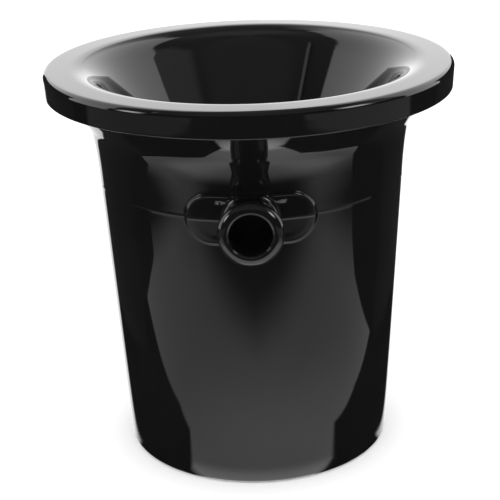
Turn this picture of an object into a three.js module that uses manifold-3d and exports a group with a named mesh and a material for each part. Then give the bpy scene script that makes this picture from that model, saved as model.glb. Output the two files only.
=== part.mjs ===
// A two-piece moulded bucket: a tapered pail with a hollow knob on each side, and a loose funnel with a
// wide skirted rim that rests on the pail's flange and drains into it. Millimetres, +Z up, standing on z = 0.
// The knobs belong to the pail's moulding. Each is a solid of its own here, a small gap away from the wall.
import * as THREE from "three";
import { mergeVertices } from "three/addons/utils/BufferGeometryUtils.js";
import Module from "manifold-3d";

const wasm = await Module();
wasm.setup();

// Driving dimensions.
const OVERALL_HEIGHT = 256.6;
const RIM_RADIUS = 130; // outside of the funnel's skirt
const WALL = 2.4; // thickness of both mouldings
const SEATING_GAP = 0.4; // between the funnel's rim and the flange that it rests on

// The pail's wall, from the foot up: a cone that starts to flare.
const FOOT_RADIUS = 87.9; // the lower cone's radius at z = 0
const FOOT_FILLET = 3;
const LOWER_DRAFT = THREE.MathUtils.degToRad(3.26);
const UPPER_DRAFT = THREE.MathUtils.degToRad(6.8); // at the flare's end, where the collar starts
const FLARE_START = 190;
const FLARE_END = 206;
const FLANGE_RADIUS = 126;
const FLANGE_TOP = OVERALL_HEIGHT - WALL - SEATING_GAP;
const BASE_THICKNESS = 3;
const BASE_RECESS = 3; // height of the hollow under the base, inside the foot ring
const FOOT_RING_WIDTH = 5;
const FLOOR_FILLET = 5;
const GATE_RADIUS = 4; // moulding gate left under the base
const GATE_HEIGHT = 0.8;

// The collar above the flare spreads in ever tighter bends, turns up again and ends in a flange. Each bend
// takes the wall on to a new slope, in degrees from upright, and a straight run then takes it up to a height.
// A bend with a negative radius turns it back towards upright.
const LIP_SLOPE = 7;
const LIP_BEND = 4; // radius under the flange
const LIP_START = FLANGE_TOP - WALL - LIP_BEND * (1 - Math.sin(THREE.MathUtils.degToRad(LIP_SLOPE)));
const COLLAR_BENDS = [
  { radius: 110, slope: 10.5, runTo: 0, steps: 1 },
  { radius: 45, slope: 16.4, runTo: 0, steps: 1 },
  { radius: 20, slope: 34, runTo: 0, steps: 3 },
  { radius: 90, slope: 40, runTo: 239.2, steps: 1 },
  { radius: -8, slope: LIP_SLOPE, runTo: LIP_START, steps: 3 },
  { radius: LIP_BEND, slope: 90, runTo: 0, steps: 3 },
];

// The funnel: a cone hung from a broad crowned rim, with a short spout below.
const CONE_HALF_ANGLE = THREE.MathUtils.degToRad(28);
const CREST_RADIUS = 114; // where the flat of the rim turns down into the cone
const CREST_BEND = 24;
const RIM_FILLET = 3.5;
const SKIRT_HEIGHT = 16;
const SKIRT_TAPER = 0.5; // how much smaller the skirt's outside is at its lower edge
const SPOUT_RADIUS = 22; // inside
const SPOUT_LENGTH = 9;
const SPOUT_BEND = 6;

// The knobs, revolved round a level axis, and the oval plates that they stand on.
const KNOB_HEIGHT = 183.5;
const KNOB_REACH = 128.1; // from the pail's axis to the knob's mouth
const LIP_RADIUS = 19.5;
const LIP_DEPTH = 9.6;
const NECK_RADIUS = 15.3;
const NECK_FILLET = 2.2;
const LIP_CROWN_RADIUS = 16.4; // where the rolled lip is furthest out
const SOCKET_RADIUS = 12.5;
const SOCKET_END_RADIUS = 11.9;
const SOCKET_END = 101.5; // distance of the blind end from the pail's axis
const MOUTH_FILLET = 1.1;
const KNOB_GAP = 0.3; // between the pail's wall and the plate
const PLATE_HALF_WIDTH = 39;
const PLATE_HALF_HEIGHT = 16;
const PLATE_STEPS = [
  { inset: 0, proud: 1.5 },
  { inset: 1, proud: 2.6 },
];

// Fineness.
const ROUND_SEGMENTS = 64;
const KNOB_SEGMENTS = 36;
const SLACK = 1; // how far a cutting solid runs past the surface that it cuts

const point = (r, z) => new THREE.Vector2(r, z);

// Points along an arc, from one angle to another in degrees, counted from the outward radial direction.
function arc(centre, radius, from, to, steps) {
  return Array.from({ length: steps + 1 }, (_, i) => {
    const angle = THREE.MathUtils.degToRad(from + ((to - from) * i) / steps);
    return point(centre.x + radius * Math.cos(angle), centre.y + radius * Math.sin(angle));
  });
}

function toSolid(geometry) {
  const bare = geometry.index ? geometry.clone() : geometry;
  bare.deleteAttribute("normal");
  bare.deleteAttribute("uv");
  const merged = mergeVertices(bare, 1e-4);
  const vertProperties = new Float32Array(merged.attributes.position.array);
  const triVerts = new Uint32Array(merged.index.array);
  return new wasm.Manifold(new wasm.Mesh({ numProp: 3, vertProperties, triVerts }));
}

function toGeometry(solid) {
  const mesh = solid.getMesh();
  const geometry = new THREE.BufferGeometry();
  geometry.setAttribute("position", new THREE.BufferAttribute(mesh.vertProperties, mesh.numProp));
  geometry.setIndex(new THREE.BufferAttribute(mesh.triVerts, 1));
  geometry.computeVertexNormals();
  return geometry;
}

// Turns a profile of (radius, height) points, listed anticlockwise, round the Z axis.
function turned(profile, segments) {
  return new THREE.LatheGeometry(profile, segments).rotateX(Math.PI / 2);
}

// The radius of the pail's outside at a height, below the collar.
function wallRadius(z) {
  const lower = FOOT_RADIUS + Math.min(z, FLARE_START) * Math.tan(LOWER_DRAFT);
  if (z <= FLARE_START) return lower;
  const share = (z - FLARE_START) / (FLARE_END - FLARE_START);
  const draft = LOWER_DRAFT + (share * (UPPER_DRAFT - LOWER_DRAFT)) / 2;
  return lower + (z - FLARE_START) * Math.tan(draft);
}

// The pail's wall as points at one depth inside its outer surface.
function wallPoints(from, depth) {
  const middle = (FLARE_START + FLARE_END) / 2;
  return [from, FLARE_START, middle, FLARE_END].map((z) => point(wallRadius(z) - depth, z));
}

// The collar as points at one depth inside its outer surface. Outside and inside share the bends' centres,
// so that the wall keeps its thickness.
function collarPoints(depth) {
  let place = point(wallRadius(FLARE_END), FLARE_END);
  let slope = THREE.MathUtils.radToDeg(UPPER_DRAFT);
  const points = [];
  for (const bend of COLLAR_BENDS) {
    const turn = THREE.MathUtils.degToRad(slope);
    const centre = point(place.x + bend.radius * Math.cos(turn), place.y - bend.radius * Math.sin(turn));
    points.push(...arc(centre, bend.radius + depth, 180 - slope, 180 - bend.slope, bend.steps));
    place = arc(centre, bend.radius, 180 - bend.slope, 180 - bend.slope, 1)[0];
    slope = bend.slope;
    const run = Math.max(0, bend.runTo - place.y);
    place = point(place.x + run * Math.tan(THREE.MathUtils.degToRad(slope)), place.y + run);
  }
  // Where a bend follows another with no run between, the two share a point.
  return points.filter((each, i) => i === 0 || each.distanceTo(points[i - 1]) > 0.01);
}

function pailShell() {
  const footEdge = wallRadius(FOOT_FILLET) - FOOT_FILLET;
  const ringInside = footEdge - FOOT_RING_WIDTH;
  const floor = BASE_RECESS + BASE_THICKNESS;
  const inside = wallRadius(floor + FLOOR_FILLET) - WALL;
  const flangeEdge = point(FLANGE_RADIUS - WALL / 2, FLANGE_TOP - WALL / 2);
  const profile = [
    point(0, BASE_RECESS - GATE_HEIGHT),
    point(GATE_RADIUS, BASE_RECESS - GATE_HEIGHT),
    point(GATE_RADIUS, BASE_RECESS),
    point(ringInside - BASE_RECESS / 2, BASE_RECESS),
    point(ringInside, 0),
    ...arc(point(footEdge, FOOT_FILLET), FOOT_FILLET, -90, 0, 3),
    ...wallPoints(FOOT_FILLET + SLACK, 0).slice(1),
    ...collarPoints(0).slice(1),
    ...arc(flangeEdge, WALL / 2, -90, 90, 4),
    ...collarPoints(WALL).reverse(),
    ...wallPoints(floor + FLOOR_FILLET, WALL).reverse().slice(1, 3),
    ...arc(point(inside - FLOOR_FILLET, floor + FLOOR_FILLET), FLOOR_FILLET, 0, -90, 3),
    point(0, floor),
  ];
  return toSolid(turned(profile, ROUND_SEGMENTS));
}

// An oval outline with round ends, in the plane that faces out along -Y.
function ovalShape(inset) {
  const end = PLATE_HALF_HEIGHT - inset;
  const straight = PLATE_HALF_WIDTH - PLATE_HALF_HEIGHT;
  const shape = new THREE.Shape();
  shape.absarc(straight, 0, end, -Math.PI / 2, Math.PI / 2, false);
  shape.absarc(-straight, 0, end, Math.PI / 2, (3 * Math.PI) / 2, false);
  return shape;
}

// A turned block that follows the pail's wall, a little proud of it or inside it.
function wallBlock(proud) {
  const low = KNOB_HEIGHT - LIP_RADIUS - SLACK;
  const profile = [point(0, low), ...wallPoints(low, -proud), point(0, FLARE_END)];
  return toSolid(turned(profile, ROUND_SEGMENTS));
}

function ovalPlate() {
  return PLATE_STEPS.map(({ inset, proud }) => {
    const prism = new THREE.ExtrudeGeometry(ovalShape(inset), {
      depth: KNOB_REACH,
      bevelEnabled: false,
      curveSegments: 10,
    });
    prism.rotateX(Math.PI / 2).translate(0, 0, KNOB_HEIGHT);
    return toSolid(prism).intersect(wallBlock(proud));
  }).reduce((whole, layer) => whole.add(layer));
}

// A solid turned round the knob's level axis. Profile points are (radius, distance from the pail's axis).
function knobTurned(profile) {
  const geometry = new THREE.LatheGeometry(profile, KNOB_SEGMENTS);
  geometry.rotateX(Math.PI).translate(0, 0, KNOB_HEIGHT);
  return toSolid(geometry);
}

function knobBody() {
  const face = wallRadius(KNOB_HEIGHT) + PLATE_STEPS.at(-1).proud;
  const lipMiddle = KNOB_REACH - LIP_DEPTH / 2;
  const backOfLip = -60;
  // The lip's round section, from behind the lip's edge over to its crown, stretched along the axis.
  const lip = arc(point(LIP_CROWN_RADIUS, 0), LIP_RADIUS - LIP_CROWN_RADIUS, backOfLip, 90, 7);
  const stretch = LIP_DEPTH / 2 / (LIP_RADIUS - LIP_CROWN_RADIUS);
  return knobTurned([
    point(0, face - 4 * WALL),
    point(NECK_RADIUS + NECK_FILLET, face - 4 * WALL),
    point(NECK_RADIUS + NECK_FILLET, face - NECK_FILLET / 2),
    point(NECK_RADIUS + NECK_FILLET / 4, face + NECK_FILLET / 4),
    point(NECK_RADIUS, face + NECK_FILLET),
    point(NECK_RADIUS, lipMiddle - LIP_DEPTH),
    ...lip.map(({ x, y }) => point(x, lipMiddle + y * stretch)),
    point(SOCKET_RADIUS + MOUTH_FILLET, KNOB_REACH - MOUTH_FILLET / 2),
    point(0, KNOB_REACH - MOUTH_FILLET / 2),
  ]);
}

// The socket's hollow, with a rounded mouth.
function socketCutter() {
  const mouth = point(SOCKET_RADIUS + MOUTH_FILLET, KNOB_REACH - 1.5 * MOUTH_FILLET);
  return knobTurned([
    point(0, SOCKET_END),
    point(SOCKET_END_RADIUS, SOCKET_END),
    ...arc(mouth, MOUTH_FILLET, 180, 90, 2),
    point(SOCKET_RADIUS + MOUTH_FILLET, KNOB_REACH + SLACK),
    point(0, KNOB_REACH + SLACK),
  ]);
}

// A knob with its plate, on the pail's -Y side.
function knob() {
  return ovalPlate().add(knobBody()).subtract(wallBlock(KNOB_GAP)).subtract(socketCutter());
}

function funnel() {
  const turn = THREE.MathUtils.radToDeg(CONE_HALF_ANGLE);
  const crest = point(CREST_RADIUS, OVERALL_HEIGHT - CREST_BEND);
  const cornerTop = point(RIM_RADIUS - RIM_FILLET, OVERALL_HEIGHT - RIM_FILLET);
  const skirtFoot = OVERALL_HEIGHT - SKIRT_HEIGHT;
  const skirtInside = RIM_RADIUS - WALL;
  // The cone leaves the crest's bend at this point, and runs down to the spout's bend.
  const coneTop = arc(crest, CREST_BEND, 180 - turn, 180 - turn, 1)[0];
  const spoutBendRadius = SPOUT_RADIUS + SPOUT_BEND * (1 - Math.cos(CONE_HALF_ANGLE));
  const coneFoot = coneTop.y - (coneTop.x - spoutBendRadius) / Math.tan(CONE_HALF_ANGLE);
  const spoutTop = coneFoot - SPOUT_BEND * Math.sin(CONE_HALF_ANGLE);
  const spoutCentre = point(SPOUT_RADIUS + SPOUT_BEND, spoutTop);
  const spoutFoot = spoutTop - SPOUT_LENGTH;
  const profile = [
    point(SPOUT_RADIUS, spoutFoot),
    point(SPOUT_RADIUS + WALL - 0.6, spoutFoot),
    ...arc(spoutCentre, SPOUT_BEND - WALL, 180, 180 - turn, 2),
    ...arc(crest, CREST_BEND - WALL, 180 - turn, 90, 5),
    ...arc(cornerTop, RIM_FILLET - WALL, 90, 0, 2),
    point(skirtInside, skirtFoot + 0.8),
    point(skirtInside + 0.6, skirtFoot),
    point(RIM_RADIUS - SKIRT_TAPER - 0.6, skirtFoot),
    point(RIM_RADIUS - SKIRT_TAPER, skirtFoot + 0.8),
    ...arc(cornerTop, RIM_FILLET, 0, 90, 5),
    ...arc(crest, CREST_BEND, 90, 180 - turn, 7),
    ...arc(spoutCentre, SPOUT_BEND, 180 - turn, 180, 2),
    point(SPOUT_RADIUS, spoutFoot),
  ];
  return toSolid(turned(profile, ROUND_SEGMENTS));
}

// Both mouldings are gloss black polystyrene.
function blackPlastic() {
  return new THREE.MeshStandardMaterial({ color: 0x0b0b0c, roughness: 0.12, metalness: 0 });
}

function piece(name, solid) {
  const mesh = new THREE.Mesh(toGeometry(solid), blackPlastic());
  mesh.name = name;
  return mesh;
}

const spittoon = new THREE.Group();
spittoon.name = "funnel_top_bucket";
const frontKnob = piece("front_knob", knob());
const backKnob = piece("back_knob", knob());
backKnob.rotation.z = Math.PI;
spittoon.add(piece("bucket", pailShell()), frontKnob, backKnob, piece("funnel", funnel()));

export default spittoon;
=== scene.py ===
"""Looks for a gloss black bucket with a funnel lid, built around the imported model. Metres, +Z up."""
import math

import bpy
import numpy as np
from mathutils import Matrix, Vector


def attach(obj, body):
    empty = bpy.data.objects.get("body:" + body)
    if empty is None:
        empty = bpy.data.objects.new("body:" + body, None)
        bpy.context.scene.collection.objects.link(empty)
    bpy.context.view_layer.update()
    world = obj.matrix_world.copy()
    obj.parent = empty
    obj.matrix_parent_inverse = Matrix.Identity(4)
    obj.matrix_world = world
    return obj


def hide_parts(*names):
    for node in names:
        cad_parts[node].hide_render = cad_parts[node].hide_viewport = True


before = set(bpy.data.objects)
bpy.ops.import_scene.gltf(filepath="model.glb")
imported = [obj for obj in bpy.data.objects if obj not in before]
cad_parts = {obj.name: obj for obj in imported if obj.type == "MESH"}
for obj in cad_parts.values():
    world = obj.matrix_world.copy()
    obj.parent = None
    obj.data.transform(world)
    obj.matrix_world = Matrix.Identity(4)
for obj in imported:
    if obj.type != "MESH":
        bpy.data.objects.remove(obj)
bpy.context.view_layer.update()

MM = 0.001

# Sizes of the two mouldings, in millimetres.
HEIGHT = 256.6
RIM_RADIUS = 130.0
WALL = 2.4
SEATING_GAP = 0.4
FOOT_RADIUS = 87.9
FOOT_FILLET = 3.0
LOWER_DRAFT = math.radians(3.26)
UPPER_DRAFT = math.radians(6.8)
FLARE = (190.0, 206.0)
FLANGE_RADIUS = 126.0
FLANGE_TOP = HEIGHT - WALL - SEATING_GAP
BASE_THICKNESS = 3.0
BASE_RECESS = 3.0
FOOT_RING_WIDTH = 5.0
FLOOR_FILLET = 5.0
GATE_RADIUS = 4.0
GATE_HEIGHT = 0.8
GATE_FILLET = 0.3

# The collar above the flare: each bend turns the wall to a slope, in degrees from upright, and a straight
# run then takes it up to a height. A negative radius turns it back towards upright.
LIP_SLOPE = 7.0
LIP_BEND = 4.0
LIP_START = FLANGE_TOP - WALL - LIP_BEND * (1 - math.sin(math.radians(LIP_SLOPE)))
COLLAR_BENDS = (  # radius, slope, height of the run's end, steps
    (110.0, 10.5, 0.0, 5),
    (45.0, 16.4, 0.0, 5),
    (20.0, 34.0, 0.0, 10),
    (90.0, 40.0, 239.2, 5),
    (-8.0, LIP_SLOPE, LIP_START, 8),
    (LIP_BEND, 90.0, 0.0, 8),
)

CONE_ANGLE = math.radians(28)
CREST_RADIUS = 114.0
CREST_BEND = 24.0
RIM_FILLET = 3.5
SKIRT_HEIGHT = 16.0
SKIRT_TAPER = 0.5
SPOUT_RADIUS = 22.0
SPOUT_LENGTH = 9.0
SPOUT_BEND = 6.0
SPOUT_EDGE = 0.8  # how far the spout's rounded lower edge reaches
SKIRT_EDGE = 0.9  # and the skirt's

KNOB_Z = 183.5
KNOB_REACH = 128.1
LIP_RADIUS = 19.5
LIP_CROWN = 14.3
LIP_FULLNESS = 1.2  # 1 is a quarter ellipse, more is flatter towards a chamfer
LIP_DEPTH = 9.6
NECK_RADIUS = 15.3
LIP_DISH = 0.624  # how far the face dips from the crown to the mouth
LIP_BACK = 3.1  # half width of the lip's rounded back
NECK_FILLET = 3.0
BORE_RADIUS = 12.5
BORE_END_RADIUS = 11.9
BORE_END = 101.5
BORE_FILLET = 1.0
MOUTH_FILLET = 1.1
MOUTH_TURN = 111.3  # degrees at which the mouth's fillet meets the lip's face
PLATE_HALF_WIDTH = 39.0
PLATE_HALF_HEIGHT = 16.0
PLATE_PROUD = 2.6
PLATE_EDGE = 1.7
PLATE_FOOT = 0.9
PLATE_DRAFT = 0.035

# Mould seams: offsets of the vertex columns either side of a seam, its height, and the wall's radius at
# which the columns beside an upright seam have those offsets.
SEAM_OFFSETS = (0.2, 0.45)
SEAM_HEIGHT = 0.07
SEAM_RADIUS = 100.0

# Vertex columns round a moulding. Round each knob a patch of the wall is meshed on its own: its columns to
# either side, its height to either side and its rows in that height.
COLUMNS = 240
PATCH_COLUMNS = 20
PATCH_HALF_HEIGHT = 22.0
PATCH_ROWS = 11
PATCH_ANGLE = PATCH_COLUMNS * 2 * math.pi / COLUMNS


def wall_radius(z):
    """The wall's outer radius at heights up to the flare's end."""
    z = np.asarray(z, float)
    lower = FOOT_RADIUS + np.minimum(z, FLARE[0]) * math.tan(LOWER_DRAFT)
    run = np.maximum(z - FLARE[0], 0)
    share = run / (FLARE[1] - FLARE[0])
    draft = LOWER_DRAFT + share * (UPPER_DRAFT - LOWER_DRAFT) / 2
    return lower + run * np.tan(draft)


def ellipse(cx, cy, rx, ry, start, end, steps):
    """Points along part of an ellipse, between two angles in degrees."""
    turns = np.radians(np.linspace(start, end, steps + 1))
    return [(cx + rx * math.cos(t), cy + ry * math.sin(t)) for t in turns]


def arc(cx, cy, radius, start, end, steps):
    return ellipse(cx, cy, radius, radius, start, end, steps)


def between(start, end, shares):
    """Points on a straight line, by their shares of the way along it."""
    start, end = np.array(start), np.array(end)
    return [tuple(start + (end - start) * share) for share in shares]


def collar(depth):
    """The collar's profile at one depth inside its outer surface, from the wall up to the flange."""
    r, z, slope = float(wall_radius(FLARE[1])), FLARE[1], math.degrees(UPPER_DRAFT)
    points = []
    for radius, new_slope, run_to, steps in COLLAR_BENDS:
        cx = r + radius * math.cos(math.radians(slope))
        cz = z - radius * math.sin(math.radians(slope))
        points += arc(cx, cz, radius + depth, 180 - slope, 180 - new_slope, steps)
        (r, z), slope = arc(cx, cz, radius, 180 - new_slope, 180 - new_slope, 1)[0], new_slope
        run = max(0.0, run_to - z)
        r, z = r + run * math.tan(math.radians(slope)), z + run
    # where a bend follows another with no run between, the two share a point
    return [p for i, p in enumerate(points) if i == 0 or math.dist(p, points[i - 1]) > 0.01]


def hermite(start, start_run, end, end_run, steps):
    """A cubic curve between two points, leaving and arriving along the given runs."""
    s = np.linspace(0, 1, steps + 1)[:, None]
    start, start_run, end, end_run = (np.array(v, float) for v in (start, start_run, end, end_run))
    places = (2 * s**3 - 3 * s**2 + 1) * start + (3 * s**2 - 2 * s**3) * end
    runs = (s**3 - 2 * s**2 + s) * start_run + (s**3 - s**2) * end_run
    return [tuple(point) for point in places + runs]


def racetrack(shares, half_width, half_height):
    """A stadium outline's quadrant, by share of the way from the end's tip to the middle of the top."""
    straight = half_width - half_height
    quarter = half_height * math.pi / 2
    points = []
    for share in shares:
        run = share * (quarter + straight)
        if run <= quarter:
            turn = run / half_height
            points.append((straight + half_height * math.cos(turn), half_height * math.sin(turn)))
        else:
            points.append((straight - (run - quarter), half_height))
    return points


def seam_rise(offset):
    """Height of a mould seam's ridge, by the distance across it."""
    return np.interp(np.abs(offset), (0, *SEAM_OFFSETS), (SEAM_HEIGHT, SEAM_HEIGHT / 2, 0))


def stadium_distance(x, z):
    """Signed distance to the plate's outline, positive inside."""
    straight = PLATE_HALF_WIDTH - PLATE_HALF_HEIGHT
    return PLATE_HALF_HEIGHT - np.hypot(np.maximum(np.abs(x) - straight, 0), z)


def plate_height(inside):
    """Height of the plate above the wall, by the signed distance inside its outline."""
    foot_side = np.sqrt(np.maximum(PLATE_FOOT**2 - (inside + PLATE_FOOT) ** 2, 0))
    foot = np.where((inside > -PLATE_FOOT) & (inside <= 0), PLATE_FOOT - foot_side, 0)
    round_edge = np.sqrt(np.maximum(1 - ((PLATE_EDGE - inside) / PLATE_EDGE) ** 2, 0))
    edge = PLATE_FOOT + (PLATE_PROUD - PLATE_FOOT) * round_edge
    return np.where(inside >= PLATE_EDGE, PLATE_PROUD, np.where(inside > 0, edge, foot))


def relief(x, z):
    """Height above the wall at (x, z), with z from the knob's axis."""
    inside = stadium_distance(x, z)
    plate = plate_height(inside)
    draft = PLATE_DRAFT * np.abs(z) * np.clip(inside / PLATE_EDGE, 0, 1)
    run = np.clip(np.hypot(x, z) - NECK_RADIUS, 0, NECK_FILLET)
    fillet = NECK_FILLET - np.sqrt(np.maximum(NECK_FILLET**2 - (NECK_FILLET - run) ** 2, 0))
    seam = np.maximum(seam_rise(z), seam_rise(x) * (z > 0))
    return plate - np.minimum(draft, plate) + fillet + seam


class Mesh:
    """Points in millimetres and the faces between them."""

    def __init__(self):
        self.points = []
        self.faces = []
        self.count = 0

    def add(self, points):
        points = np.asarray(points, float)
        start = self.count
        self.points.append(points)
        self.count += len(points)
        return np.arange(start, self.count)

    def strip(self, low, high):
        """Quads between two closed loops, facing out when both run anticlockwise and high is the upper."""
        for i in range(len(low)):
            j = (i + 1) % len(low)
            self.faces.append((low[i], low[j], high[j], high[i]))

    def fan(self, loop, centre, flip=False):
        """Triangles from a loop to its centre."""
        for i in range(len(loop)):
            j = (i + 1) % len(loop)
            self.faces.append((loop[j], loop[i], centre) if flip else (loop[i], loop[j], centre))


def columns():
    """Angles of the bucket's vertex columns, with more beside the two upright seams."""
    even = [2 * math.pi * i / COLUMNS for i in range(COLUMNS)]
    beside = [side + sign * offset / SEAM_RADIUS
              for side in (0, math.pi) for offset in SEAM_OFFSETS for sign in (1, -1)]
    return np.array(sorted((a + 2 * math.pi) % (2 * math.pi) for a in even + beside))


def knob_profile():
    """(radius, distance from the bucket's axis) from the hollow's blind end out and back to the neck."""
    blind_end = [(r, BORE_END) for r in (1.5, 4, 7, 9.5)]
    blind_end += arc(BORE_END_RADIUS - BORE_FILLET, BORE_END + BORE_FILLET, BORE_FILLET, -90, 0, 4)
    mouth_y = KNOB_REACH - LIP_DISH - MOUTH_FILLET * math.sin(math.radians(MOUTH_TURN))
    bore = between((BORE_END_RADIUS, BORE_END + BORE_FILLET), (BORE_RADIUS, mouth_y), (0.2, 0.4, 0.6, 0.8))
    mouth = arc(BORE_RADIUS + MOUTH_FILLET, mouth_y, MOUTH_FILLET, 180, MOUTH_TURN, 6)
    mouth_r = mouth[-1][0]
    face = [(mouth_r + (LIP_CROWN - mouth_r) * share, KNOB_REACH - LIP_DISH * (1 - share) ** 2)
            for share in (0.25, 0.5, 0.75)]
    half_depth = LIP_DEPTH / 2
    middle = KNOB_REACH - half_depth
    width = LIP_RADIUS - LIP_CROWN
    roll = [(LIP_CROWN + width * math.cos(turn) ** LIP_FULLNESS,
             middle + half_depth * math.sin(turn) ** LIP_FULLNESS)
            for turn in np.radians(np.linspace(90, 0, 15))]
    roll += ellipse(LIP_RADIUS - LIP_BACK, middle, LIP_BACK, half_depth, 0, -60, 6)[1:]
    back = hermite(roll[-1], (-4.5, -4.0), (NECK_RADIUS, middle - LIP_DEPTH), (0, -5.0), 8)
    return blind_end + bore + mouth + face + roll + back[1:]


def inner_shares(low, high, count):
    """Evenly spaced values between low and high, without the two ends."""
    return [low + (high - low) * (i + 1) / (count + 1) for i in range(count)]


def circle_quadrant(size, count):
    """A circle's quadrant, from the seam on the x axis to the seam on the z axis."""
    beside = (0.0, *SEAM_OFFSETS)
    first = math.asin(beside[-1] / size)
    points = [(math.sqrt(size**2 - d * d), d) for d in beside]
    turns = inner_shares(first, math.pi / 2 - first, count)
    points += [(size * math.cos(turn), size * math.sin(turn)) for turn in turns]
    return points + [(d, math.sqrt(size**2 - d * d)) for d in reversed(beside)]


def plate_quadrant(size, count):
    """The same for the plate's outline, grown by size."""
    beside = (0.0, *SEAM_OFFSETS)
    half_width, half_height = PLATE_HALF_WIDTH + size, PLATE_HALF_HEIGHT + size
    straight = half_width - half_height
    total = half_height * math.pi / 2 + straight
    first = half_height * math.asin(beside[-1] / half_height) / total
    last = 1 - beside[-1] / total
    points = [(straight + math.sqrt(half_height**2 - d * d), d) for d in beside]
    points += racetrack(inner_shares(first, last, count), half_width, half_height)
    return points + [(d, half_height) for d in reversed(beside)]


def whole_loop(quadrant):
    """Mirrors a quadrant's points into a closed loop, anticlockwise in (x, z) from +x."""
    upper_left = [(-x, z) for x, z in reversed(quadrant[:-1])]
    lower_left = [(-x, -z) for x, z in quadrant[1:]]
    lower_right = [(x, -z) for x, z in reversed(quadrant[1:-1])]
    return np.array(quadrant + upper_left + lower_left + lower_right)


def ring(radius, height, angles):
    """A level ring of points; the radius is one number, or one for each angle."""
    return np.stack([radius * np.sin(angles), -radius * np.cos(angles), np.full(len(angles), height)], -1)


def bucket_underside():
    """Profile of the base seen from below: gate mark, recess and foot ring."""
    foot_edge = float(wall_radius(FOOT_FILLET)) - FOOT_FILLET
    ring_inside = foot_edge - FOOT_RING_WIDTH
    recess_edge = ring_inside - BASE_RECESS / 2
    gate_face = BASE_RECESS - GATE_HEIGHT
    profile = [(GATE_RADIUS / 2, gate_face)]
    profile += arc(GATE_RADIUS - GATE_FILLET, gate_face + GATE_FILLET, GATE_FILLET, -90, 0, 3)
    profile += [(GATE_RADIUS, BASE_RECESS - 0.05), (GATE_RADIUS + GATE_FILLET, BASE_RECESS)]
    profile += [(r, BASE_RECESS) for r in (20, 40, 60, recess_edge - 0.6)]
    profile += [(recess_edge, BASE_RECESS - 0.4), (ring_inside - 0.2, 0.4), (ring_inside + 0.4, 0.0)]
    profile += [(foot_edge - 0.5, 0.0)]
    return profile + arc(foot_edge, FOOT_FILLET, FOOT_FILLET, -90, 0, 8)


def bucket_inside():
    """Profile of the inside from the collar's foot down to the middle of the floor."""
    floor = BASE_RECESS + BASE_THICKNESS
    floor_edge = floor + FLOOR_FILLET
    flare_rows = np.linspace(FLARE[1], FLARE[0], 7)[1:]
    heights = np.concatenate([flare_rows, np.linspace(FLARE[0], floor_edge, 12)[1:-1]])
    side = [(float(wall_radius(z)) - WALL, z) for z in heights]
    inside = float(wall_radius(floor_edge)) - WALL
    corner = arc(inside - FLOOR_FILLET, floor_edge, FLOOR_FILLET, 0, -90, 8)
    return side + corner + [(r, floor) for r in (60, 40, 20, 6, 2)]


def angle_from(angles, centre):
    """How far angles lie from a centre, between half a turn back and half a turn on."""
    return (angles - centre + math.pi) % (2 * math.pi) - math.pi


def bucket():
    """The bucket, revolved except for a patch of wall round each knob."""
    m = Mesh()
    cols = columns()
    patch_foot = KNOB_Z - PATCH_HALF_HEIGHT
    patch_step = PATCH_HALF_HEIGHT / PATCH_ROWS
    seam_rows = [KNOB_Z + sign * offset for sign in (-1, 1) for offset in SEAM_OFFSETS]
    band = sorted(seam_rows + [patch_foot + patch_step * i for i in range(2 * PATCH_ROWS + 1)])
    rows_below = list(np.linspace(FOOT_FILLET, patch_foot, 16)[1:-1])
    underside = bucket_underside()
    wall = [(float(wall_radius(z)), z) for z in rows_below + band]
    lip = arc(FLANGE_RADIUS - WALL / 2, FLANGE_TOP - WALL / 2, WALL / 2, -90, 90, 8)
    profile = underside + wall + collar(0) + lip + collar(WALL)[::-1] + bucket_inside()

    # the level seam and the upright ones, which run from the knobs to the lip
    seamed = range(len(underside), len(underside) + len(wall) + len(collar(0)))
    across = np.abs((cols + math.pi / 2) % math.pi - math.pi / 2) * SEAM_RADIUS
    loops = []
    for row, (r, z) in enumerate(profile):
        if row in seamed:
            r = r + np.maximum(seam_rise(z - KNOB_Z), seam_rise(across) * (z > KNOB_Z))
        loops.append(m.add(ring(r, z, cols)))

    band_start = len(underside) + len(rows_below)
    band_end = band_start + len(band) - 1
    middles = cols + (np.roll(cols, -1) - cols) % (2 * math.pi) / 2
    in_patch = np.minimum(np.abs(angle_from(middles, 0)), np.abs(angle_from(middles, math.pi))) < PATCH_ANGLE
    bottom = m.add([(0, 0, profile[0][1])])[0]
    top = m.add([(0, 0, profile[-1][1])])[0]
    for row, (low, high) in enumerate(zip(loops, loops[1:])):
        for i in range(len(cols)):
            j = (i + 1) % len(cols)
            if not (band_start <= row < band_end and in_patch[i]):
                m.faces.append((low[i], low[j], high[j], high[i]))
    m.fan(loops[0], bottom, flip=True)
    m.fan(loops[-1], top)
    for centre in (0.0, math.pi):
        knob_patch(m, cols, loops, band_start, band_end, centre)
    return m


def patch_border(cols, loops, low_row, high_row, centre):
    """Numbers of the wall's points round a patch, anticlockwise from the middle of its right side."""
    angles = angle_from(cols, centre)
    order = [i for i in np.argsort(angles) if abs(angles[i]) < PATCH_ANGLE + 1e-6]
    right, left = order[-1], order[0]
    middle = low_row + (high_row - low_row) // 2
    border = [loops[row][right] for row in range(middle, high_row)]
    border += [loops[high_row][i] for i in reversed(order[1:])]
    border += [loops[row][left] for row in range(high_row, low_row, -1)]
    border += [loops[low_row][i] for i in order[:-1]]
    return border + [loops[row][right] for row in range(low_row, middle)]


def on_wall(places):
    """Points of the front wall, with the plate and the seams on it, at (x, z) from the knob's axis."""
    x, z = places[:, 0], places[:, 1]
    r = wall_radius(KNOB_Z + z) + relief(x, z)
    return np.stack([x, -np.sqrt(r**2 - x**2), KNOB_Z + z], -1)


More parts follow.
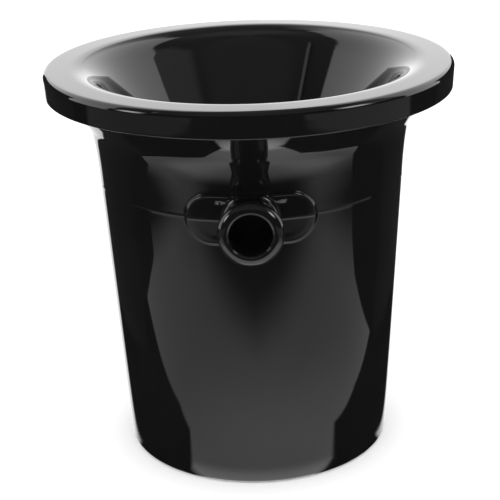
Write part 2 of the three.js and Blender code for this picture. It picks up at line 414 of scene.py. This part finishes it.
def knob_loops(count):
    """Loops over the knob, from the hollow's blind end to the neck's foot."""
    outline = np.array(knob_profile())
    run = np.gradient(outline, axis=0)
    outward = np.maximum(-run[:, 1] / np.hypot(run[:, 0], run[:, 1]), 0)
    loops = []
    for (r, y), facing in zip(outline, outward):
        loop = whole_loop(circle_quadrant(r, count))
        seam = np.maximum(seam_rise(loop[:, 1]), seam_rise(loop[:, 0]) * (loop[:, 1] > 0))
        loop = loop * (1 + facing * seam / r)[:, None]
        loops.append(np.stack([loop[:, 0], np.full(len(loop), -y), KNOB_Z + loop[:, 1]], -1))
    head = loops[-1]
    foot = on_wall(whole_loop(circle_quadrant(NECK_RADIUS, count)))
    loops += [head + (foot - head) * share for share in (0.25, 0.5, 0.75)]
    for turn in np.radians([0, 8, 17, 27, 38, 50, 62, 75, 90]):
        r = NECK_RADIUS + NECK_FILLET * (1 - math.cos(turn))
        loops.append(on_wall(whole_loop(circle_quadrant(r, count))))
    return loops


def plate_loops(count):
    """Loops over the plate from the neck outward, past its edge and foot."""
    sizes = [-6, -3.5, -PLATE_EDGE - 0.4]
    sizes += [-PLATE_EDGE * share for share in (1, 0.8, 0.6, 0.42, 0.26, 0.13, 0.05, 0.01)]
    sizes += [0.004] + [PLATE_FOOT * share for share in (0.03, 0.12, 0.3, 0.55, 1)] + [PLATE_FOOT + 0.6]
    loops = []
    for step, size in enumerate(sizes):
        outline = whole_loop(plate_quadrant(size, count))
        reach = np.hypot(outline[:, 0], outline[:, 1])
        # above and below the neck the loops bunch up round its foot
        least = NECK_RADIUS + NECK_FILLET + 0.25 + 0.12 * step
        loop = outline * np.maximum(1, least / reach)[:, None]
        for axis, other in ((0, 1), (1, 0)):
            # a seam's columns stay as far from the seam as they were
            near = np.abs(outline[:, axis]) <= SEAM_OFFSETS[-1] + 1e-6
            loop[near, axis] = outline[near, axis]
            along = np.maximum(reach[near], least) ** 2 - outline[near, axis] ** 2
            loop[near, other] = np.sign(outline[near, other]) * np.sqrt(np.maximum(along, 0))
        loops.append(on_wall(loop))
    return loops


def knob_patch(m, cols, loops, low_row, high_row, centre):
    """Fills a patch of the wall with the knob and its plate, as loops from the hollow's end outward."""
    border = patch_border(cols, loops, low_row, high_row, centre)
    side = 1 if centre == 0 else -1
    outer = np.concatenate(m.points)[border][:, [0, 2]] * [side, 1] - [0, KNOB_Z]
    count = len(border) // 4 - 2 * (len(SEAM_OFFSETS) + 1) + 1
    rings = knob_loops(count) + plate_loops(count)
    last = rings[-1][:, [0, 2]] - [0, KNOB_Z]
    rings += [on_wall(last + (outer - last) * share) for share in (0.25, 0.5, 0.75)]
    numbers = [m.add(points * [side, side, 1]) for points in rings] + [border]
    for inner, outside in zip(numbers, numbers[1:]):
        m.strip(outside, inner)
    m.fan(numbers[0], m.add([(0, -BORE_END * side, KNOB_Z)])[0])


def spout_lip(foot):
    """Profile of the spout's rounded lower edge, from its inside to its outside."""
    return [(SPOUT_RADIUS, foot + SPOUT_EDGE), (SPOUT_RADIUS + 0.15, foot + 0.3), (SPOUT_RADIUS + 0.6, foot),
            (SPOUT_RADIUS + WALL - SPOUT_EDGE, foot), (SPOUT_RADIUS + WALL - 0.2, foot + 0.3),
            (SPOUT_RADIUS + WALL, foot + 0.9)]


def skirt_lip(foot):
    """Profile of the skirt's rounded lower edge, from its inside to its outside."""
    inside, outside = RIM_RADIUS - WALL, RIM_RADIUS - SKIRT_TAPER
    return [(inside, foot + 5), (inside, foot + 1.0), (inside + 0.1, foot + 0.4),
            (inside + 0.5, foot + 0.05), (outside - SKIRT_EDGE, foot), (outside - 0.35, foot + 0.12),
            (outside - 0.08, foot + 0.4), (outside, foot + SKIRT_EDGE)]


def funnel():
    """The funnel, revolved from one closed profile that runs up the outside and down the inside."""
    m = Mesh()
    turn = math.degrees(CONE_ANGLE)
    crest_z = HEIGHT - CREST_BEND
    rim_r, rim_z = RIM_RADIUS - RIM_FILLET, HEIGHT - RIM_FILLET
    cone_top = arc(CREST_RADIUS, crest_z, CREST_BEND, 180 - turn, 180 - turn, 0)[0]
    bend_r = SPOUT_RADIUS + SPOUT_BEND * (1 - math.cos(CONE_ANGLE))
    cone_foot = cone_top[1] - (cone_top[0] - bend_r) / math.tan(CONE_ANGLE)
    spout_top = cone_foot - SPOUT_BEND * math.sin(CONE_ANGLE)
    bend_x = SPOUT_RADIUS + SPOUT_BEND
    eighths = np.linspace(0, 1, 9)[1:-1]

    bend_outside = arc(bend_x, spout_top, SPOUT_BEND - WALL, 180, 180 - turn, 4)
    under_crest = arc(CREST_RADIUS, crest_z, CREST_BEND - WALL, 180 - turn, 90, 14)
    profile = spout_lip(spout_top - SPOUT_LENGTH) + bend_outside
    profile += between(bend_outside[-1], under_crest[0], eighths) + under_crest
    profile += between((CREST_RADIUS, HEIGHT - WALL), (rim_r, HEIGHT - WALL), (0.33, 0.66))
    profile += arc(rim_r, rim_z, RIM_FILLET - WALL, 90, 0, 8)
    skirt = skirt_lip(HEIGHT - SKIRT_HEIGHT)
    profile += skirt + between(skirt[-1], (RIM_RADIUS, rim_z), (0.33, 0.66))
    profile += arc(rim_r, rim_z, RIM_FILLET, 0, 90, 14)
    profile += between((rim_r, HEIGHT), (CREST_RADIUS, HEIGHT), (0.25, 0.5, 0.75))
    crest = arc(CREST_RADIUS, crest_z, CREST_BEND, 90, 180 - turn, 20)
    bend_inside = arc(bend_x, spout_top, SPOUT_BEND, 180 - turn, 180, 6)
    profile += crest + between(crest[-1], bend_inside[0], eighths) + bend_inside
    profile += [(SPOUT_RADIUS, spout_top - SPOUT_LENGTH / 2)]

    cols = np.arange(COLUMNS) * 2 * math.pi / COLUMNS
    loops = [m.add(ring(r, z, cols)) for r, z in profile]
    for low, high in zip(loops, loops[1:] + loops[:1]):
        m.strip(low, high)
    return m


def add_object(moulding, name):
    mesh = bpy.data.meshes.new(name)
    points = np.concatenate(moulding.points) * MM
    mesh.from_pydata(points.tolist(), [], [tuple(int(i) for i in face) for face in moulding.faces])
    mesh.validate()
    mesh.polygons.foreach_set("use_smooth", [True] * len(mesh.polygons))
    mesh.update()
    obj = bpy.data.objects.new(name, mesh)
    bpy.context.scene.collection.objects.link(obj)
    return obj


def gloss_plastic(name):
    """Gloss black polystyrene: a faint moulding wave, fine orange peel and the wipe marks of use."""
    mat = bpy.data.materials.new(name)
    mat.use_nodes = True
    tree = mat.node_tree
    shader = tree.nodes["Principled BSDF"]
    shader.inputs["IOR"].default_value = 1.5
    place = tree.nodes.new("ShaderNodeTexCoord")

    def noise(scale, detail, stretch=None):
        """Noise over the piece; the scale is in features per metre."""
        made = tree.nodes.new("ShaderNodeTexNoise")
        made.inputs["Scale"].default_value = scale
        made.inputs["Detail"].default_value = detail
        source = place.outputs["Object"]
        if stretch:
            spread = tree.nodes.new("ShaderNodeMapping")
            spread.inputs["Scale"].default_value = stretch
            tree.links.new(source, spread.inputs["Vector"])
            source = spread.outputs["Vector"]
        tree.links.new(source, made.inputs["Vector"])
        return made.outputs["Fac"]

    def ranged(value, low, high, new_low, new_high):
        made = tree.nodes.new("ShaderNodeMapRange")
        for key, number in zip(("From Min", "From Max", "To Min", "To Max"), (low, high, new_low, new_high)):
            made.inputs[key].default_value = number
        tree.links.new(value, made.inputs["Value"])
        return made.outputs["Result"]

    def added(first, second):
        made = tree.nodes.new("ShaderNodeMath")
        made.operation = "ADD"
        tree.links.new(first, made.inputs[0])
        tree.links.new(second, made.inputs[1])
        return made.outputs[0]

    def bump(height, distance, below=None):
        made = tree.nodes.new("ShaderNodeBump")
        made.inputs["Distance"].default_value = distance
        tree.links.new(height, made.inputs["Height"])
        if below:
            tree.links.new(below, made.inputs["Normal"])
        return made.outputs["Normal"]

    # carbon black, slightly uneven
    tint = tree.nodes.new("ShaderNodeValToRGB")
    tint.color_ramp.elements[0].position = 0.3
    tint.color_ramp.elements[0].color = (0.0033, 0.0033, 0.0035, 1)
    tint.color_ramp.elements[1].position = 0.7
    tint.color_ramp.elements[1].color = (0.0046, 0.0044, 0.0047, 1)
    tree.links.new(noise(26, 4), tint.inputs["Fac"])
    tree.links.new(tint.outputs["Color"], shader.inputs["Base Color"])

    # wipe marks that run round the piece, over a patchy fine haze
    wipes = ranged(noise(60, 6, (1, 1, 14)), 0.52, 0.72, 0, 0.022)
    haze = ranged(noise(18, 5), 0.48, 0.75, 0.024, 0.05)
    tree.links.new(added(wipes, haze), shader.inputs["Roughness"])

    wave = bump(noise(22, 1), 0.00003)
    peel = bump(noise(700, 2), 0.0000006, wave)
    tree.links.new(peel, shader.inputs["Normal"])
    return mat


bucket_piece = add_object(bucket(), "bucket_moulding")
funnel_piece = add_object(funnel(), "funnel_moulding")
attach(bucket_piece, "bucket")
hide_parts("bucket", "front_knob", "back_knob")
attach(funnel_piece, "funnel")
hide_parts("funnel")
black = gloss_plastic("moulded_black")
for piece in (bucket_piece, funnel_piece):
    piece.data.materials.append(black)
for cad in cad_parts.values():
    cad.data.materials.clear()
    cad.data.materials.append(black)


# From here on, the stage.
def smooth(value, low, high):
    """0 below low, 1 above high, eased between them."""
    share = np.clip((value - low) / (high - low), 0, 1)
    return share * share * (3 - 2 * share)


def glow_material(name):
    """Emission by the mesh's own level at each point, with a painted sheen added where it is seen steeply.
    """
    mat = bpy.data.materials.new(name)
    mat.use_nodes = True
    tree = mat.node_tree
    tree.nodes.clear()
    out = tree.nodes.new("ShaderNodeOutputMaterial")
    glow = tree.nodes.new("ShaderNodeEmission")
    level = tree.nodes.new("ShaderNodeAttribute")
    level.attribute_name = "level"
    painted_sheen = tree.nodes.new("ShaderNodeAttribute")
    painted_sheen.attribute_name = "painted_sheen"
    slant = tree.nodes.new("ShaderNodeLayerWeight")
    slant.inputs["Blend"].default_value = 0.5
    steep = tree.nodes.new("ShaderNodeMapRange")
    steep.interpolation_type = "SMOOTHSTEP"
    steep.inputs["From Min"].default_value = 0.50
    steep.inputs["From Max"].default_value = 0.38
    total = tree.nodes.new("ShaderNodeMath")
    total.operation = "MULTIPLY_ADD"
    tree.links.new(slant.outputs["Facing"], steep.inputs["Value"])
    tree.links.new(steep.outputs["Result"], total.inputs[0])
    tree.links.new(painted_sheen.outputs["Fac"], total.inputs[1])
    tree.links.new(level.outputs["Fac"], total.inputs[2])
    tree.links.new(total.outputs[0], glow.inputs["Strength"])
    tree.links.new(glow.outputs[0], out.inputs[0])
    return mat


reflected_glow = glow_material("reflected_glow")


def reflected(name, points, faces, levels, painted_sheens=None):
    """A glowing surface that only reflections see."""
    mesh = bpy.data.meshes.new(name)
    mesh.from_pydata(points, [], faces)
    # the painted sheen, which the glow adds where the surface is seen steeply; none unless given
    painted_sheens = np.zeros(len(points)) if painted_sheens is None else painted_sheens
    for key, values in (("level", levels), ("painted_sheen", painted_sheens)):
        mesh.attributes.new(key, "FLOAT", "POINT").data.foreach_set("value", np.asarray(values, np.float32))
    mesh.materials.append(reflected_glow)
    mesh.update()
    obj = bpy.data.objects.new(name, mesh)
    bpy.context.scene.collection.objects.link(obj)
    obj.visible_camera = False
    obj.visible_diffuse = False
    obj.visible_shadow = False


def grid_faces(rows, cols):
    """Quads of a grid whose points are numbered row by row."""
    corner = np.arange((rows - 1) * cols).reshape(rows - 1, cols)[:, :-1].ravel()
    return np.stack([corner, corner + 1, corner + cols + 1, corner + cols], -1).tolist()


# Outlines of the two bright walls behind the bucket: degrees away from the front, and degrees of height.
BACK_WALL_LEFT = ((79, 31), (85, 40), (95, 49), (110, 55), (135, 63), (160, 61), (172, 50), (180, 30))
BACK_WALL_RIGHT = ((91, 30), (97, 45), (107, 51), (120, 55), (135, 61), (150, 64), (165, 52), (180, 28))


def sky_level(az, el):
    """Glow of the studio's walls and ceiling, by azimuth from the front and elevation in degrees."""
    turn = np.abs(az)
    front = 0.19 * smooth(el, 34, 40)
    left = 0.11 * smooth(el, 26, 32)
    right = 0.12 + 0.26 * smooth(az, 50, 62) * smooth(-el - 0.25 * np.abs(az - 90), -62, -50)
    side = smooth(turn, 36, 56)
    level = front * (1 - side) + np.where(az < 0, left, right * smooth(el, 20, 26)) * side
    level += 0.22 * smooth(el, 60, 76) * smooth(turn, 90, 165)
    # a narrow curved gap between two ceiling panels, with a dark edge
    line = az + 57 + 1.5 * np.maximum(el - 38, 0) ** 1.6 / 12
    ends = smooth(el, 36, 38) * (1 - smooth(el, 58, 61))
    level += 0.8 * smooth(-np.abs(line), -2.2, -0.6) * ends
    level *= 1 - 0.6 * smooth(-np.abs(line + 3.5), -3, -1) * ends
    top = np.where(az < 0, np.interp(turn, *zip(*BACK_WALL_LEFT)), np.interp(turn, *zip(*BACK_WALL_RIGHT)))
    soft = 1.5 + 10 * smooth(turn, 160, 175)
    begin = np.where(az < 0, BACK_WALL_LEFT[0][0], BACK_WALL_RIGHT[0][0])
    wall = smooth(top - el, -soft, soft) * smooth(turn, begin - 1.5, begin + 1.5)
    bright = np.where(az < 0, 1.9 - 0.5 * smooth(el, 20, 60), 2.0 - 0.3 * smooth(el, 20, 60))
    bright += 0.15 * smooth(turn, 168, 178) * smooth(-el, -20, -12)
    return level * (1 - wall) + bright * wall


def sky():
    """A dome far outside the scene."""
    radius = 3.0
    az = np.radians(np.linspace(-180, 180, 361))
    el = np.radians(np.linspace(-12, 90, 103))
    turn, lift = (v.ravel() for v in np.meshgrid(az, el))
    points = radius * np.stack([np.sin(turn) * np.cos(lift), -np.cos(turn) * np.cos(lift), np.sin(lift)], -1)
    levels = sky_level(np.degrees(turn), np.degrees(lift))
    reflected("sky_glow", points.tolist(), grid_faces(len(el), len(az)), levels)


# The edge of the table's lit patch on the bucket's side, as (x, y) in metres from the bucket's axis.
LIT_EDGE = (
    (-0.50, -0.12), (-0.38, -0.11), (-0.345, -0.07), (-0.31, -0.038), (-0.25, -0.06),
    (-0.13, -0.102), (-0.09, -0.102), (-0.05, -0.08), (0.06, -0.079), (0.10, -0.093),
    (0.16, -0.06), (0.235, 0.002), (0.335, -0.085), (0.41, -0.12), (0.50, -0.14),
)


def table_level(x, y):
    """Glow of the table around the bucket, with painted light and shade, and the painted sheen of the lights
    above that a view from above adds to it.
    """
    reach = np.hypot(x, y)
    edge = np.interp(x, *zip(*LIT_EDGE))
    patch = smooth(edge - y, -0.002, 0.002) * smooth(x, -0.47, -0.34) * smooth(-x, -0.50, -0.30)
    lit = 0.64 + 0.42 * smooth(y, -0.21, -0.11) * smooth(-np.abs(x - 0.03), -0.20, -0.02)
    lit -= 0.16 * smooth(-y, 0.22, 0.34)
    # the camera side is in soft shade, deepest in front of the knob
    spread = np.where(x < 0, 0.36, 0.28) * np.abs(x)
    lit *= (1 - 0.97 * smooth(-y - 0.27 - spread, -0.055, 0.075)) * (1 - smooth(-y, 0.37, 0.46))
    # painted light: brighter where the bucket's foot stands
    lit += 1.2 * smooth(-reach, -0.105, -0.09)
    # farther out: dark ahead, grey to the sides, white behind
    az = np.degrees(np.arctan2(x, -y))
    ahead = smooth(np.abs(az + 0.5), 27, 30) * (1 - smooth(np.abs(az), 91, 94))
    start = np.where(az < 0, 0.60, 0.52)
    far = np.where(az < 0, 0.17, 0.28) * ahead * smooth(reach - start, 0, np.where(az < 0, 0.06, 0.03))
    inside = np.minimum(x + 0.102 + 0.55 * y, 0.098 + 0.33 * y - x)
    behind = smooth(inside, -0.002, 0.002) * smooth(y, -0.035, -0.03)
    # painted sheen: the lights above, painted into the table's glow where it is seen steeply
    painted_sheen = 0.85 * patch * smooth(-y, 0.09, 0.24) * smooth(x, -0.38, -0.22) * smooth(-x, -0.55, -0.20)
    return lit * patch + far * (1 - patch) + 1.35 * behind + 0.012, painted_sheen


def table():
    """The table's glow just over the floor, on a grid that is fine near the bucket."""
    fine_part = np.arange(-0.52, 0.52, 0.0025)
    line = np.concatenate([np.arange(-1.8, -0.52, 0.04), fine_part, np.arange(0.52, 1.81, 0.04)])
    x, y = (place.ravel() for place in np.meshgrid(line, line))
    points = np.stack([x, y, np.full(len(x), 0.0008)], -1)
    reflected("table_glow", points.tolist(), grid_faces(len(line), len(line)), *table_level(x, y))


def flag(name, x, front, end, top=0.31, level=0.03):
    """A dark upright card at one side of the bucket."""
    corners = [(x, front, 0), (x, end, 0), (x, end, top), (x, front, top)]
    reflected(name, corners, [(0, 1, 2, 3)], [level] * len(corners))


def softbox(name, centre, width, height, level):
    """An upright light that faces the bucket, brightest in its middle."""
    facing = Vector((centre[0], centre[1], 0)).normalized()
    across = Vector((-facing.y, facing.x, 0)) * width / 2
    up = Vector((0, 0, height / 2))
    share = np.linspace(-1, 1, 13)
    sideways, upward = (each.ravel() for each in np.meshgrid(share, share))
    points = [Vector(centre) + across * a + up * b for a, b in zip(sideways, upward)]
    fall_off = smooth(-np.abs(sideways), -1, -0.2) * smooth(-np.abs(upward), -1, -0.2)
    reflected(name, points, grid_faces(len(share), len(share)), level * fall_off)


def floor(half_size=6.0):
    """The pale floor that the camera sees; the gloss sees the table's glow in its place."""
    corners = [(x * half_size, y * half_size, 0) for x, y in ((-1, -1), (1, -1), (1, 1), (-1, 1))]
    mesh = bpy.data.meshes.new("floor")
    mesh.from_pydata(corners, [], [(0, 1, 2, 3)])
    mat = bpy.data.materials.new("floor")
    mat.use_nodes = True
    shader = mat.node_tree.nodes["Principled BSDF"]
    shader.inputs["Base Color"].default_value = (0.95, 0.95, 0.95, 1)
    shader.inputs["Roughness"].default_value = 1
    shader.inputs["Specular IOR Level"].default_value = 0
    mesh.materials.append(mat)
    obj = bpy.data.objects.new("floor", mesh)
    bpy.context.scene.collection.objects.link(obj)
    obj.visible_glossy = False


def studio_light():
    """Even white light from all round."""
    world = bpy.data.worlds.new("studio")
    world.use_nodes = True
    background = world.node_tree.nodes["Background"]
    background.inputs["Color"].default_value = (1, 1, 1, 1)
    background.inputs["Strength"].default_value = 1.7
    bpy.context.scene.world = world


def camera(place, pan, tilt, roll, focal_share, shift):
    """A camera that looks along +y, panned right, tilted down and rolled anticlockwise, in radians."""
    data = bpy.data.cameras.new("camera")
    data.sensor_width = 36
    data.lens = data.sensor_width * focal_share
    data.shift_x = shift
    data.clip_start = 0.01
    forward = Vector((math.sin(pan) * math.cos(tilt), math.cos(pan) * math.cos(tilt), -math.sin(tilt)))
    level_right = Vector((math.cos(pan), -math.sin(pan), 0))
    level_up = level_right.cross(forward)
    right = level_right * math.cos(roll) + level_up * math.sin(roll)
    up = level_up * math.cos(roll) - level_right * math.sin(roll)
    obj = bpy.data.objects.new("camera", data)
    obj.matrix_world = Matrix.Translation(place) @ Matrix((right, up, -forward)).transposed().to_4x4()
    bpy.context.scene.collection.objects.link(obj)
    bpy.context.scene.camera = obj


sky()
table()
flag("dark_flag_left", -0.22, -0.03, 0.2)
flag("dark_flag_right", 0.22, 0.015, 0.34)
softbox("softbox_left", (-0.44, -0.27, 0.37), 0.17, 0.23, 8)
softbox("softbox_right", (0.38, -0.29, 0.43), 0.2, 0.24, 8)
floor()
studio_light()
camera((0.00987, -0.85297, 0.45095), -0.0173, 0.3629, -0.0327, 2.7285, 0.00706)
bpy.context.scene.view_settings.view_transform = "Standard"
